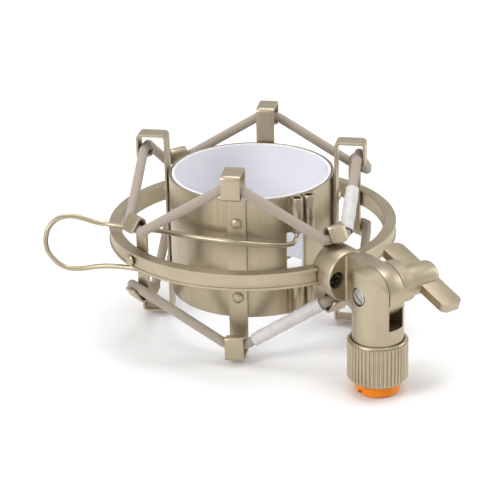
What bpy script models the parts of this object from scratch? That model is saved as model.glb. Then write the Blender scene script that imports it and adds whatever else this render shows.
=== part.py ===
"""Spider shock mount for a side-address microphone.

A split sleeve clamps the microphone.  Four hooked strips on the sleeve and four on an outer
ring carry two elastic cords between them.  A bracket on the ring ends in a tongue that tilts
in the slotted head of a stand socket, where a wing knob locks it.

Lengths are in millimetres and are turned into metres when a mesh is made.  The origin is the
middle of the thread reducer's lower face, on the stand's axis, with +Z up; the bracket
leaves the stand along +Y and the knob points along +X.
"""
import math

import bmesh
import bpy
from mathutils import Matrix, Vector

MM = 0.001
GAP = 0.3                      # clearance left between pieces that touch in real life
MERGE = 1e-5                   # distance under which points of one mesh are joined

# stand socket
REDUCER_R = 7.95               # 5/8 inch stand thread
REDUCER_BORE_R = 4.6           # 3/8 inch thread inside it
REDUCER_TOP = 11.7
NUT_R = 10.85
NUT_BOTTOM = 4.3
NUT_TOP = 20.3
NUT_RIBS = 44
NUT_RIB_DEPTH = 0.5
STEM_R = 9.2
STEM_BOTTOM = 12.3
PIVOT_Z = 38.0
SLOT = (-2.2, 4.6)             # slot in the stem's head, between its two faces in x
SLOT_BOTTOM = 26.0
BOSS_R = 6.6
BOSS_END = 11.7
PIVOT_SCREW_R = 2.0
PIVOT_SCREW_END = 18.0
PIVOT_HEAD_R = 3.1
PIVOT_HEAD = (-9.1, -7.2)
HUB_R = 5.5
HUB_START = 12.0
HUB_END = 25.4
BLADE_X = 19.4
BLADE_WIDTH = 8.6
BLADE_THICK = 3.2
BLADE_REACH = 18.5
BLADE_CORNER = 2.6
BLADE_TURN = math.radians(17.0)

# ring, bracket and sleeve, placed about the microphone's axis
AXIS = Vector((0.0, 76.2, 0.0))
RING_OUT = 54.3
RING_IN = 49.8
RING_HALF = 3.1
RING_LIP = 1.2
RING_CHANNEL = 0.45
PAD_R = 9.6
PAD_BACK = 49.9
PAD_FACE = 60.5
PAD_FILLET = 0.8
ARM = (-1.9, 4.3)              # the tongue's two faces in x
ARM_HALF = 9.2
CLAMP_SCREW_X = -6.0
CLAMP_SCREW_HOLE_R = 1.8
CLAMP_HEAD_HOLE_R = 3.2
BAND_IN = 30.2
BAND_OUT = 31.0
LINING_IN = 28.9
LINING_OUT = 29.9
BAND_BOTTOM = 14.0
BAND_TOP = 60.3
WINDOW = (28.4, 46.3)          # heights of the gap between the knuckles
SPLIT = -90.0                  # bearing of the sleeve's opening, in degrees
SPLIT_HALF = 1.0
HALVES_HALF = 0.3
WINDOW_EDGE = {"left": 11.0, "right": 3.6}
KNUCKLE_RING_R = 32.5
KNUCKLE_STEP = 4.7             # degrees from the split to each knuckle
KNUCKLE_R = 2.2
KNUCKLE_BORE = 1.4

# hooked strips
SHEET = 0.9
STRIP_WIDTH = 7.0
INNER_BEARINGS = {"left_front": -135.0, "right_front": -45.0, "right_rear": 45.0, "left_rear": 135.0}
OUTER_BEARINGS = {"front": -90.0, "right": 0.0, "rear": 90.0, "left": 180.0}
INNER_MID = 37.55
INNER_HALF = 35.8              # from the middle to the strip's mid-surface at its highest bar
INNER_REACH = 42.75
INNER_LEG_END = 27.1
INNER_STAND = BAND_OUT + 0.7 + SHEET / 2
OUTER_MID = PIVOT_Z
OUTER_STAND = RING_IN - GAP - SHEET / 2
INNER_RIVETS = {"upper": 51.75, "lower": 22.55}
RIVET_HEAD_R = 2.1
RIVET_SHANK_R = 0.9
RIVET_HOLE_R = 1.2

# cords, sleeves and wire
CORD_R = 1.8
CORD_HOOKS = {"outer": (51.7, OUTER_MID, 11.9, 4.6), "inner": (40.2, INNER_MID, 30.15, 3.9)}
SLEEVE_IN = 2.1
SLEEVE_OUT = 2.5
WIRE_R = 0.95

# the joints, with the point that each turns about and the joint that carries it
KNUCKLE_PIN = AXIS + Vector((-2.66, -32.39, 0.0))
JOINTS = {
    "reducer_slide": (Vector((0, 0, 0)), None),
    "stem_swivel": (Vector((0, 0, STEM_BOTTOM)), None),
    "knob_turn": (Vector((HUB_START, 0, PIVOT_Z)), "stem_swivel"),
    "ring_tilt": (Vector((0, 0, PIVOT_Z)), "stem_swivel"),
    "cradle_float": (AXIS + Vector((0, 0, INNER_MID)), "ring_tilt"),
    "jaw_open": (AXIS + Vector((0, BAND_OUT - 0.4, INNER_MID)), "cradle_float"),
    "handle_swing": (KNUCKLE_PIN + Vector((0, 0, INNER_MID)), "jaw_open"),
}

parts = bpy.data.collections.new("spider_shock_mount")
cutters = bpy.data.collections.new("cutters")
pivots = {}


def start_scene():
    for old in list(bpy.data.objects):
        bpy.data.objects.remove(old, do_unlink=True)
    bpy.context.scene.collection.children.link(parts)
    bpy.context.scene.collection.children.link(cutters)
    for name, (place, carrier) in JOINTS.items():
        pivot = bpy.data.objects.new(name, None)
        pivot.parent = pivots.get(carrier)
        pivot.location = (place - JOINTS[carrier][0] if carrier else place) * MM
        parts.objects.link(pivot)
        pivots[name] = pivot


# ---------------------------------------------------------------- placing and joining

def place_of(joint):
    return JOINTS[joint][0] if joint else Vector((0, 0, 0))


def coat(obj, colour, roughness, metallic):
    material = bpy.data.materials.new(obj.name + "_finish")
    material.use_nodes = True
    surface = material.node_tree.nodes["Principled BSDF"]
    surface.inputs["Base Color"].default_value = (*colour, 1.0)
    surface.inputs["Roughness"].default_value = roughness
    surface.inputs["Metallic"].default_value = metallic
    obj.data.materials.append(material)


def finish(name, mesh, joint, colour=(0.58, 0.50, 0.35), roughness=0.38, metallic=1.0):
    """Turns a mesh drawn in millimetres into a named sub-part that rides on a joint."""
    mesh.transform(Matrix.Scale(MM, 4) @ Matrix.Translation(-place_of(joint)))
    mesh.shade_smooth()
    mesh.set_sharp_from_angle(angle=math.radians(32))
    obj = bpy.data.objects.new(name, mesh)
    obj.parent = pivots.get(joint)
    parts.objects.link(obj)
    coat(obj, colour, roughness, metallic)
    return obj


def combine(target, mesh, operation="DIFFERENCE"):
    """Adds an exact Boolean; the mesh is drawn in millimetres, and its object stays hidden."""
    mesh.transform(Matrix.Scale(MM, 4))
    tool = bpy.data.objects.new(target.name + "_tool", mesh)
    tool.hide_render = True
    tool.display_type = "WIRE"
    cutters.objects.link(tool)
    boolean = target.modifiers.new(operation.lower(), "BOOLEAN")
    boolean.object = tool
    boolean.operation = operation
    boolean.solver = "EXACT"
    return tool


def thicken(obj, thickness):
    """Gives an open surface its sheet's thickness, half to each side."""
    solid = obj.modifiers.new("sheet", "SOLIDIFY")
    solid.thickness = thickness * MM
    solid.offset = 0.0
    solid.use_even_offset = True


# ---------------------------------------------------------------- shapes, in millimetres

def polar(radius, bearing, height=0.0):
    angle = math.radians(bearing)
    return AXIS + Vector((radius * math.cos(angle), radius * math.sin(angle), height))


def arc(cx, cy, radius, start, end, steps):
    """Points of a round corner, from one angle to another in degrees."""
    angles = [math.radians(start + (end - start) * i / steps) for i in range(steps + 1)]
    return [(cx + radius * math.cos(a), cy + radius * math.sin(a)) for a in angles]


def to_mesh(work, name, closed=True):
    bmesh.ops.remove_doubles(work, verts=work.verts, dist=MERGE)
    if closed:
        bmesh.ops.recalc_face_normals(work, faces=work.faces)
    mesh = bpy.data.meshes.new(name)
    work.to_mesh(mesh)
    work.free()
    return mesh


def rod(start, end, radius, segments):
    """A plain round bar between two points."""
    start, end = Vector(start), Vector(end)
    along = end - start
    turn = along.to_track_quat("Z", "Y").to_matrix().to_4x4()
    place = Matrix.Translation((start + end) / 2) @ turn
    work = bmesh.new()
    bmesh.ops.create_cone(work, cap_ends=True, segments=segments, radius1=radius, radius2=radius,
                          depth=along.length, matrix=place)
    return to_mesh(work, "rod")


def block(low, high):
    low, high = Vector(low), Vector(high)
    work = bmesh.new()
    place = Matrix.Translation((low + high) / 2) @ Matrix.Diagonal((*(high - low), 1.0))
    bmesh.ops.create_cube(work, size=1.0, matrix=place)
    return to_mesh(work, "block")


def turned(profile, start, direction, segments, name, loop=False):
    """Spins (radius, distance) points about a line; a loop's last point joins its first."""
    turn = Vector(direction).to_track_quat("Z", "Y").to_matrix()
    work = bmesh.new()
    dots = [work.verts.new(Vector(start) + turn @ Vector((r, 0, along))) for r, along in profile]
    pairs = list(zip(dots, dots[1:])) + ([(dots[-1], dots[0])] if loop else [])
    edges = [work.edges.new(pair) for pair in pairs]
    bmesh.ops.spin(work, geom=dots + edges, cent=start, axis=direction, angle=math.tau,
                   steps=segments, use_merge=True)
    return to_mesh(work, name)


def prism(outline, axis, low, high):
    """Extrudes a closed outline along x, y or z; the outline is in the other two axes, in order."""
    unit = {"x": Vector((1, 0, 0)), "y": Vector((0, 1, 0)), "z": Vector((0, 0, 1))}
    first, second = [unit[a] for a in "xyz" if a != axis]
    work = bmesh.new()
    face = work.faces.new([work.verts.new(u * first + v * second + low * unit[axis]) for u, v in outline])
    grown = bmesh.ops.extrude_face_region(work, geom=[face])
    far = [item for item in grown["geom"] if isinstance(item, bmesh.types.BMVert)]
    bmesh.ops.translate(work, verts=far, vec=(high - low) * unit[axis])
    return to_mesh(work, "prism")


def cable(name, route, radius, closed, joint, capped=True):
    """A round cord or wire: a poly curve with a bevel."""
    curve = bpy.data.curves.new(name, "CURVE")
    curve.dimensions = "3D"
    curve.bevel_depth = radius * MM
    curve.bevel_resolution = 1
    curve.use_fill_caps = capped and not closed
    spline = curve.splines.new("POLY")
    spline.points.add(len(route) - 1)
    for point, place in zip(spline.points, route):
        point.co = (*((place - place_of(joint)) * MM), 1.0)
    spline.use_cyclic_u = closed
    spline.use_smooth = True
    obj = bpy.data.objects.new(name, curve)
    obj.parent = pivots.get(joint)
    parts.objects.link(obj)
    return obj


def round_corners(corners, radius, steps):
    """Replaces each corner of a closed straight-sided route by a short arc."""
    route = []
    for i, corner in enumerate(corners):
        back = corners[i - 1] - corner
        ahead = corners[(i + 1) % len(corners)] - corner
        a, b = corner + back.normalized() * radius, corner + ahead.normalized() * radius
        for k in range(steps + 1):
            t = k / steps
            route.append(a * (1 - t) ** 2 + corner * (2 * t * (1 - t)) + b * t ** 2)
    return route


def smooth_route(points, per_span):
    """A Catmull-Rom curve through hand-placed points."""
    padded = [2 * points[0] - points[1]] + points + [2 * points[-1] - points[-2]]
    route = []
    for a, b, c, d in zip(padded, padded[1:], padded[2:], padded[3:]):
        for k in range(per_span):
            t = k / per_span
            bend = (2 * a - 5 * b + 4 * c - d) * t * t + (3 * b - a - 3 * c + d) * t ** 3
            route.append(0.5 * (2 * b + (c - a) * t + bend))
    route.append(points[-1])
    return route


# ---------------------------------------------------------------- stand socket

def thread_reducer():
    profile = [(REDUCER_BORE_R, 0), (REDUCER_R - 0.5, 0), (REDUCER_R, 0.5),
               (REDUCER_R, REDUCER_TOP), (REDUCER_BORE_R, REDUCER_TOP)]
    mesh = turned(profile, (0, 0, 0), (0, 0, 1), 40, "thread_reducer", loop=True)
    reducer = finish("thread_reducer", mesh, "reducer_slide", (0.90, 0.33, 0.02), 0.35, 0.0)
    combine(reducer, block((-10, -1.0, -1), (10, 1.0, 1.6)))


def ribbed_nut():
    """Internal thread below, a step that the stem stands on, and ribs outside."""
    waist = NUT_R - 1.1
    profile = [(REDUCER_R + GAP, NUT_BOTTOM), (waist, NUT_BOTTOM), (NUT_R, NUT_BOTTOM + 1.0),
               (NUT_R, NUT_TOP - 1.8), (waist + 0.2, NUT_TOP), (STEM_R + GAP, NUT_TOP),
               (STEM_R + GAP, STEM_BOTTOM - GAP), (REDUCER_R + GAP, STEM_BOTTOM - GAP)]
    steps = NUT_RIBS * 2
    mesh = turned(profile, (0, 0, 0), (0, 0, 1), steps, "ribbed_nut", loop=True)
    for vertex in mesh.vertices:
        step = round(math.atan2(vertex.co.y, vertex.co.x) / math.tau * steps)
        if step % 2 and math.hypot(vertex.co.x, vertex.co.y) > NUT_R - MERGE * 10:
            vertex.co.xy *= 1 - NUT_RIB_DEPTH / NUT_R
    finish("ribbed_nut", mesh, None)


def swivel_stem():
    """Round post whose head is rounded across the pivot and slotted for the tongue."""
    mesh = rod((0, 0, STEM_BOTTOM), (0, 0, PIVOT_Z + STEM_R + 1), STEM_R, 56)
    stem = finish("swivel_stem", mesh, "stem_swivel")
    side = [(-STEM_R - 1, STEM_BOTTOM - 2), (STEM_R + 1, STEM_BOTTOM - 2), (STEM_R + 1, PIVOT_Z - 4)]
    side += arc(0, PIVOT_Z, STEM_R, 0, 180, 20) + [(-STEM_R - 1, PIVOT_Z - 4)]
    combine(stem, prism(side, "x", -12, 12), "INTERSECT")
    combine(stem, rod((6.0, 0, PIVOT_Z), (BOSS_END, 0, PIVOT_Z), BOSS_R, 32), "UNION")
    combine(stem, block((SLOT[0], -12, SLOT_BOTTOM), (SLOT[1], 12, PIVOT_Z + 12)))
    combine(stem, rod((-12, 0, PIVOT_Z), (14, 0, PIVOT_Z), PIVOT_SCREW_R + GAP, 20))
    combine(stem, rod((-12, 0, PIVOT_Z), (PIVOT_HEAD[1] + GAP, 0, PIVOT_Z), PIVOT_HEAD_R + GAP, 24))


def pivot_screw():
    """Slotted head sunk in the left ear, shank through the tongue into the knob."""
    tip, seat = PIVOT_HEAD
    profile = [(0, tip), (PIVOT_HEAD_R - 0.4, tip), (PIVOT_HEAD_R, tip + 0.4), (PIVOT_HEAD_R, seat),
               (PIVOT_SCREW_R, seat), (PIVOT_SCREW_R, PIVOT_SCREW_END), (0, PIVOT_SCREW_END)]
    mesh = turned(profile, (0, 0, PIVOT_Z), (1, 0, 0), 20, "pivot_screw")
    screw = finish("pivot_screw", mesh, "stem_swivel", (0.45, 0.44, 0.42), 0.42, 1.0)
    slot = block((tip - 0.5, -4, -0.4), (tip + 0.7, 4, 0.4))
    slot.transform(Matrix.Translation((0, 0, PIVOT_Z)) @ Matrix.Rotation(math.radians(38), 4, "X"))
    combine(screw, slot)


def wing_knob():
    """Domed hub with a flat cross bar, threaded on the pivot screw."""
    rise = HUB_R * 0.6
    dome = [(HUB_R * math.cos(math.radians(a)), HUB_END - rise * (1 - math.sin(math.radians(a))))
            for a in range(0, 90, 18)]
    profile = [(0, HUB_START), (HUB_R - 0.3, HUB_START), (HUB_R, HUB_START + 0.4)] + dome + [(0, HUB_END)]
    knob = finish("wing_knob", turned(profile, (0, 0, PIVOT_Z), (1, 0, 0), 32, "wing_knob"), "knob_turn")
    reach, half = BLADE_REACH - BLADE_CORNER, BLADE_WIDTH / 2 - BLADE_CORNER
    outline = arc(half, reach, BLADE_CORNER, 0, 90, 5) + arc(-half, reach, BLADE_CORNER, 90, 180, 5)
    outline += arc(-half, -reach, BLADE_CORNER, 180, 270, 5) + arc(half, -reach, BLADE_CORNER, 270, 360, 5)
    blade = prism(outline, "z", -BLADE_THICK / 2, BLADE_THICK / 2)
    blade.transform(Matrix.Translation((BLADE_X, 0, PIVOT_Z)) @ Matrix.Rotation(BLADE_TURN, 4, "X"))
    combine(knob, blade, "UNION")
    bore_end = PIVOT_SCREW_END + 2 * GAP
    combine(knob, rod((HUB_START - 1, 0, PIVOT_Z), (bore_end, 0, PIVOT_Z), PIVOT_SCREW_R + GAP, 20))


# ---------------------------------------------------------------- ring and bracket

def outer_ring():
    """Flat bar with a shallow channel round its outer face."""
    low, high = PIVOT_Z - RING_HALF, PIVOT_Z + RING_HALF
    floor = RING_OUT - RING_CHANNEL
    profile = [(RING_IN, low), (RING_OUT, low), (RING_OUT, low + RING_LIP), (floor, low + RING_LIP + 0.3),
               (floor, high - RING_LIP - 0.3), (RING_OUT, high - RING_LIP), (RING_OUT, high), (RING_IN, high)]
    ring = finish("outer_ring", turned(profile, AXIS, (0, 0, 1), 72, "outer_ring", loop=True), "ring_tilt")
    for side, bearing in OUTER_BEARINGS.items():
        if side != "front":
            ends = polar(RING_IN - 3, bearing, PIVOT_Z), polar(RING_OUT + 3, bearing, PIVOT_Z)
            combine(ring, rod(*ends, RIVET_HOLE_R, 12))
    combine(ring, clamp_screw_bore(CLAMP_SCREW_HOLE_R, 14.5))


def clamp_screw_bore(radius, depth):
    start = Vector((CLAMP_SCREW_X, AXIS.y - PAD_FACE - 2, PIVOT_Z))
    return rod(start, start + Vector((0, depth, 0)), radius, 20)


def tongue():
    """The bracket's arm: flat sides that flare into the pad, and a round end about the pivot."""
    face = AXIS.y - PAD_FACE
    flare_left, flare_right = ARM[0] - PAD_FILLET, ARM[1] + PAD_FILLET
    plan = [(ARM[0], -12)] + arc(flare_left, face - PAD_FILLET, PAD_FILLET, 0, 90, 6)
    plan += [(flare_left, face + 1.5), (flare_right, face + 1.5)]
    plan += arc(flare_right, face - PAD_FILLET, PAD_FILLET, 90, 180, 6) + [(ARM[1], -12)]
    side = [(face + 1.2, PIVOT_Z - ARM_HALF + 1.3), (face + 1.2, PIVOT_Z + ARM_HALF - 1.3)]
    side += [(face - 2.2, PIVOT_Z + ARM_HALF)] + arc(0, PIVOT_Z, ARM_HALF, 90, 270, 24)
    side += [(face - 2.2, PIVOT_Z - ARM_HALF)]
    return prism(plan, "z", PIVOT_Z - 14, PIVOT_Z + 14), prism(side, "x", -14, 14)


def stand_bracket():
    """Round block that grips the ring, with a thick tongue reaching to the stand."""
    face, depth = AXIS.y - PAD_FACE, PAD_FACE - PAD_BACK
    profile = [(0, 0), (PAD_R - 0.6, 0), (PAD_R, 0.6), (PAD_R, depth), (0, depth)]
    mesh = turned(profile, (0, face, PIVOT_Z), (0, 1, 0), 48, "stand_bracket")
    bracket = finish("stand_bracket", mesh, "ring_tilt")
    plan, side = tongue()
    combine(combine(bracket, plan, "UNION"), side, "INTERSECT")
    low, high = PIVOT_Z - RING_HALF - GAP, PIVOT_Z + RING_HALF + GAP
    combine(bracket, rod(AXIS + Vector((0, 0, low)), AXIS + Vector((0, 0, high)), RING_OUT + GAP, 144))
    combine(bracket, rod((-12, 0, PIVOT_Z), (14, 0, PIVOT_Z), PIVOT_SCREW_R + GAP, 20))
    combine(bracket, clamp_screw_bore(CLAMP_SCREW_HOLE_R, 14.5))
    combine(bracket, clamp_screw_bore(CLAMP_HEAD_HOLE_R, 5.4))


def clamp_screw():
    """Cross-recessed screw that holds the bracket to the ring."""
    seat = AXIS.y - PAD_FACE + 3.4
    profile = [(0, -2.0), (2.2, -2.0), (2.9, -1.2), (2.9, -GAP), (1.4, -GAP), (1.4, 8.6), (0, 8.6)]
    mesh = turned(profile, (CLAMP_SCREW_X, seat, PIVOT_Z), (0, 1, 0), 18, "clamp_screw")
    screw = finish("clamp_screw", mesh, "ring_tilt", (0.10, 0.10, 0.10), 0.40, 1.0)
    for wide, tall in ((1.6, 0.35), (0.35, 1.6)):
        low = (CLAMP_SCREW_X - wide, seat - 3, PIVOT_Z - tall)
        combine(screw, block(low, (CLAMP_SCREW_X + wide, seat - 1.0, PIVOT_Z + tall)))


# ---------------------------------------------------------------- hooked strips and rivets

def bent_strip(name, upper, middle, trims, bearing, joint):
    """A strip bent along a (radius, height) route, the same above and below its middle.

    trims says how much narrower the strip is at its last points, which rounds its ends."""
    route = [(r, 2 * middle - z) for r, z in reversed(upper)] + upper
    widths = [STRIP_WIDTH] * len(route)
    for k, trim in enumerate(trims):
        widths[k] = widths[-1 - k] = STRIP_WIDTH - trim
    across = polar(1, bearing + 90) - AXIS
    work = bmesh.new()
    left = [work.verts.new(polar(r, bearing, z) - across * w / 2) for (r, z), w in zip(route, widths)]
    edges = [work.edges.new(pair) for pair in zip(left, left[1:])]
    grown = bmesh.ops.extrude_edge_only(work, edges=edges)
    for vertex in (item for item in grown["geom"] if isinstance(item, bmesh.types.BMVert)):
        twin = min(range(len(left)), key=lambda i: (left[i].co - vertex.co).length)
        vertex.co = left[twin].co + across * widths[twin]
    strip = finish(name, to_mesh(work, name, closed=False), joint)
    thicken(strip, SHEET)
    return strip


def inner_strip(side):
    """Stands off the sleeve, bends out over the top, down, and back in as a shelf."""
    bearing = INNER_BEARINGS[side]
    top, low = INNER_MID + INNER_HALF, INNER_MID + INNER_LEG_END
    bend, curl = 1.3, 0.9
    upper = [(INNER_STAND, INNER_MID + 20)]
    upper += arc(INNER_STAND + bend, top - bend, bend, 180, 90, 3)
    upper += arc(INNER_REACH - bend, top - bend, bend, 90, 0, 3)
    upper += arc(INNER_REACH - curl, low + curl, curl, 0, -107, 4) + [(38.6, 65.6), (37.9, 65.8), (37.4, 65.95)]
    strip = bent_strip("inner_strip_" + side, upper, INNER_MID, (1.8, 0.6), bearing, strip_joint(side))
    for height in INNER_RIVETS.values():
        ends = polar(INNER_STAND - 0.6, bearing, height), polar(INNER_STAND + 1.0, bearing, height)
        combine(strip, rod(*ends, RIVET_HOLE_R, 12))


def strip_joint(side):
    return "jaw_open" if side.startswith("left") else "cradle_float"


def outer_strip(side):
    """Lies inside the ring and bends outwards at each end into a short sloping flap."""
    bearing = OUTER_BEARINGS[side]
    upper = [(OUTER_STAND, OUTER_MID + 10.0), (OUTER_STAND + 0.15, OUTER_MID + 11.5)]
    upper += arc(OUTER_STAND + 2.15, OUTER_MID + 14.6, 1.6, 172, 32, 6)
    tip = upper[-1]
    upper += [(tip[0] + 0.55 * d, tip[1] - 0.83 * d) for d in (3.6, 4.4, 5.0)]
    strip = bent_strip("outer_strip_" + side, upper, OUTER_MID, (3.4, 1.3), bearing, "ring_tilt")
    if side == "front":
        combine(strip, clamp_screw_bore(CLAMP_SCREW_HOLE_R, 20))
    else:
        ends = polar(OUTER_STAND - 1.5, bearing, PIVOT_Z), polar(OUTER_STAND + 1.5, bearing, PIVOT_Z)
        combine(strip, rod(*ends, RIVET_HOLE_R, 12))


def rivet(name, bearing, height, face, shank, joint):
    """Low domed head on a shank; face is the radius of the surface that the head sits on."""
    dome = [(RIVET_HEAD_R * math.cos(math.radians(a)), 0.25 + 0.95 * math.sin(math.radians(a)))
            for a in (0, 30, 60)]
    profile = [(0, -shank), (RIVET_SHANK_R, -shank), (RIVET_SHANK_R, 0), (RIVET_HEAD_R, 0)] + dome + [(0, 1.2)]
    outwards = polar(1, bearing) - AXIS
    finish(name, turned(profile, polar(face, bearing, height), outwards, 14, name), joint)


# ---------------------------------------------------------------- split sleeve

def half_sleeve(side, inner, outer, name, joint, colour, roughness, metallic):
    """Half of a thin sleeve, with its free edge cut back between the knuckles."""
    sign = -1 if side == "left" else 1
    edge, far, steps = WINDOW_EDGE[side], 180.0 - HALVES_HALF, 28
    bearings = [SPLIT_HALF] + [edge + (far - edge) * k / steps for k in range(steps + 1)]
    heights = [BAND_BOTTOM, WINDOW[0], WINDOW[1], BAND_TOP]
    work = bmesh.new()
    columns, rows = len(bearings) - 1, len(heights) - 1
    bmesh.ops.create_grid(work, x_segments=columns, y_segments=rows, size=0.5)
    window = min(work.faces, key=lambda f: (f.calc_center_median() - Vector((-0.5, 0, 0))).length)
    for vertex in work.verts:
        i, j = round((vertex.co.x + 0.5) * columns), round((vertex.co.y + 0.5) * rows)
        vertex.co = polar((inner + outer) / 2, SPLIT + sign * bearings[i], heights[j])
    bmesh.ops.delete(work, geom=[window], context="FACES")
    half = finish(name, to_mesh(work, name, closed=False), joint, colour, roughness, metallic)
    thicken(half, outer - inner)
    return half


def clamp_band(side):
    """The springy sheet, with its edge rolled into a tube above and below the window."""
    sign, joint = (-1, "jaw_open") if side == "left" else (1, "cradle_float")
    name = "clamp_band_" + side
    band = half_sleeve(side, BAND_IN, BAND_OUT, name, joint, (0.55, 0.47, 0.33), 0.34, 1.0)
    centre = polar(KNUCKLE_RING_R, SPLIT + sign * KNUCKLE_STEP)
    for low, high in ((WINDOW[1] + 0.25, BAND_TOP - 0.2), (BAND_BOTTOM + 0.2, WINDOW[0] - 0.25)):
        profile = [(KNUCKLE_BORE, low), (KNUCKLE_R, low), (KNUCKLE_R, high), (KNUCKLE_BORE, high)]
        combine(band, turned(profile, centre, (0, 0, 1), 20, "knuckle", loop=True), "UNION")
    for place, bearing in INNER_BEARINGS.items():
        for height in INNER_RIVETS.values():
            if place.startswith(side):
                ends = polar(BAND_IN - 1, bearing, height), polar(BAND_OUT + 0.6, bearing, height)
                combine(band, rod(*ends, RIVET_HOLE_R, 12))


def clamp_lining(side):
    joint = "jaw_open" if side == "left" else "cradle_float"
    name = "clamp_lining_" + side
    half_sleeve(side, LINING_IN, LINING_OUT, name, joint, (0.72, 0.73, 0.80), 0.55, 0.0)


# ---------------------------------------------------------------- cords, sleeves and wire

def cord_corners(up):
    """Where a cord turns: a short level run across each hook, and straight lines between."""
    corners = []
    for k in range(8):
        radius, middle, rise, half = CORD_HOOKS["outer" if k % 2 == 0 else "inner"]
        bearing = 45.0 * k - 90.0
        across = polar(1, bearing + 90) - AXIS
        hook = polar(radius, bearing, middle + up * rise)
        corners += [hook - across * half, hook + across * half]
    return corners


def elastic_cord(name, up):
    cord = cable(name, round_corners(cord_corners(up), 1.4, 3), CORD_R, True, "cradle_float")
    coat(cord, (0.52, 0.46, 0.38), 0.85, 0.0)


def cord_sleeve(name, up, first, share):
    """White sleeve over the cord's joint; share is the part of one straight run that it covers."""
    corners = cord_corners(up)
    a, b = corners[first], corners[(first + 1) % len(corners)]
    route = [a.lerp(b, share[0] + (share[1] - share[0]) * k / 4) for k in range(5)]
    sleeve = cable(name, route, (SLEEVE_IN + SLEEVE_OUT) / 2, False, "cradle_float", capped=False)
    thicken(sleeve, SLEEVE_OUT - SLEEVE_IN)
    coat(sleeve, (0.72, 0.70, 0.67), 0.6, 0.0)


def wire_handle():
    """One bent wire: up into the left knuckles at both ends, and a loop outside the ring."""
    x, y = KNUCKLE_PIN.x - AXIS.x, KNUCKLE_PIN.y - AXIS.y
    upper = [(x, y, 53.5), (x, y, 50.0), (x, y, 46.6), (-3.6, -33.1, 44.5), (-6.9, -34.2, 43.4),
             (-15.7, -32.6, 44.8), (-26.4, -26.0, 46.5), (-34.2, -14.0, 46.4), (-39.8, 0.0, 45.5),
             (-46.0, 16.0, 43.7), (-49.6, 22.7, 43.2), (-53.4, 25.9, 44.2), (-58.9, 29.3, 46.6),
             (-62.4, 31.0, 47.3), (-66.0, 32.6, 46.4), (-69.2, 33.4, 43.6), (-70.9, 33.2, 39.3)]
    lower = [(-71.0, 31.8, 35.1), (-69.3, 29.0, 31.4), (-67.0, 26.8, 29.4), (-64.8, 24.8, 28.8),
             (-61.3, 21.9, 29.0), (-58.2, 19.3, 29.7), (-54.9, 15.8, 30.3), (-50.2, 10.4, 30.4),
             (-46.4, 5.0, 30.3), (-42.6, -1.0, 30.2), (-35.8, -13.0, 29.4), (-27.4, -25.2, 28.6),
             (-15.7, -32.6, 29.8), (-6.9, -34.2, 31.1), (-3.6, -33.1, 30.1), (x, y, 28.1),
             (x, y, 24.6), (x, y, 21.2)]
    route = smooth_route([AXIS + Vector(place) for place in upper + lower], 3)
    wire = cable("wire_handle", route, WIRE_R, False, "handle_swing")
    coat(wire, (0.56, 0.49, 0.34), 0.35, 1.0)


def main():
    start_scene()
    thread_reducer()
    ribbed_nut()
    swivel_stem()
    pivot_screw()
    wing_knob()
    outer_ring()
    stand_bracket()
    clamp_screw()
    head = INNER_STAND + SHEET / 2 + 0.05
    for side, bearing in INNER_BEARINGS.items():
        inner_strip(side)
        for level, height in INNER_RIVETS.items():
            rivet("rivet_" + side + "_" + level, bearing, height, head, 2.3, strip_joint(side))
    for side, bearing in OUTER_BEARINGS.items():
        outer_strip(side)
        if side != "front":
            rivet("rivet_ring_" + side, bearing, PIVOT_Z, RING_OUT + 0.05, 5.6, "ring_tilt")
    for side in ("left", "right"):
        clamp_band(side)
        clamp_lining(side)
    elastic_cord("elastic_upper", 1)
    elastic_cord("elastic_lower", -1)
    cord_sleeve("cord_sleeve_upper", 1, 1, (0.05, 0.60))
    cord_sleeve("cord_sleeve_lower", -1, 15, (0.11, 0.95))
    wire_handle()


main()
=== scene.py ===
"""The looks of the spider shock mount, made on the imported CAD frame.

Every piece is drawn in millimetres in the frame's own axes and scaled to metres when it is
baked, so that it needs no fitting.  Main sizes are read from the frame's boxes.
"""
import math

import bmesh
import bpy
from mathutils import Matrix, Vector


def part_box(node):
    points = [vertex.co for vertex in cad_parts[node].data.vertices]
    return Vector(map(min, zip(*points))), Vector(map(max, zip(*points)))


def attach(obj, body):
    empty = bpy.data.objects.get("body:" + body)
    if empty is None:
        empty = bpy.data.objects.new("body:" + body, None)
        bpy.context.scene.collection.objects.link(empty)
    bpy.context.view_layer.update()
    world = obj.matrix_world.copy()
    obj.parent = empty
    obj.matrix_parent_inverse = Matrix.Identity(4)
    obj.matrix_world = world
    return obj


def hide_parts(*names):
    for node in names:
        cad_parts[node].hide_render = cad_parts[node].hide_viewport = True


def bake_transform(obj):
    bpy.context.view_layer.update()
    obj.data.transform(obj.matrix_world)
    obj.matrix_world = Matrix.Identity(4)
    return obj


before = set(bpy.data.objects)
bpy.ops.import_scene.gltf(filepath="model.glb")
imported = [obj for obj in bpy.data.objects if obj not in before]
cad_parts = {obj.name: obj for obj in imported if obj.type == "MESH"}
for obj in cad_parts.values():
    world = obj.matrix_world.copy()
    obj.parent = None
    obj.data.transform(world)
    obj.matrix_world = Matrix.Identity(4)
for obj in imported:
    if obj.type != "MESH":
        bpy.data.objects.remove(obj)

bl_info = {
    "name": "Spider shock mount",
    "version": (1, 0, 0),
    "blender": (4, 5, 0),
    "location": "3D View > Sidebar > Shock mount",
    "description": "Builds the fine surfaces, materials and studio of a microphone shock mount",
    "category": "Object",
}

MM = 0.001
MERGE = 1e-3                   # distance under which points of one drawn piece are joined
GAP = 0.3                      # clearance between pieces that touch on the real object


def span(node):
    """A CAD node's lowest and highest corners, in millimetres."""
    low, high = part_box(node)
    return Vector(low) / MM, Vector(high) / MM


# ------------ sizes read from the frame

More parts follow.
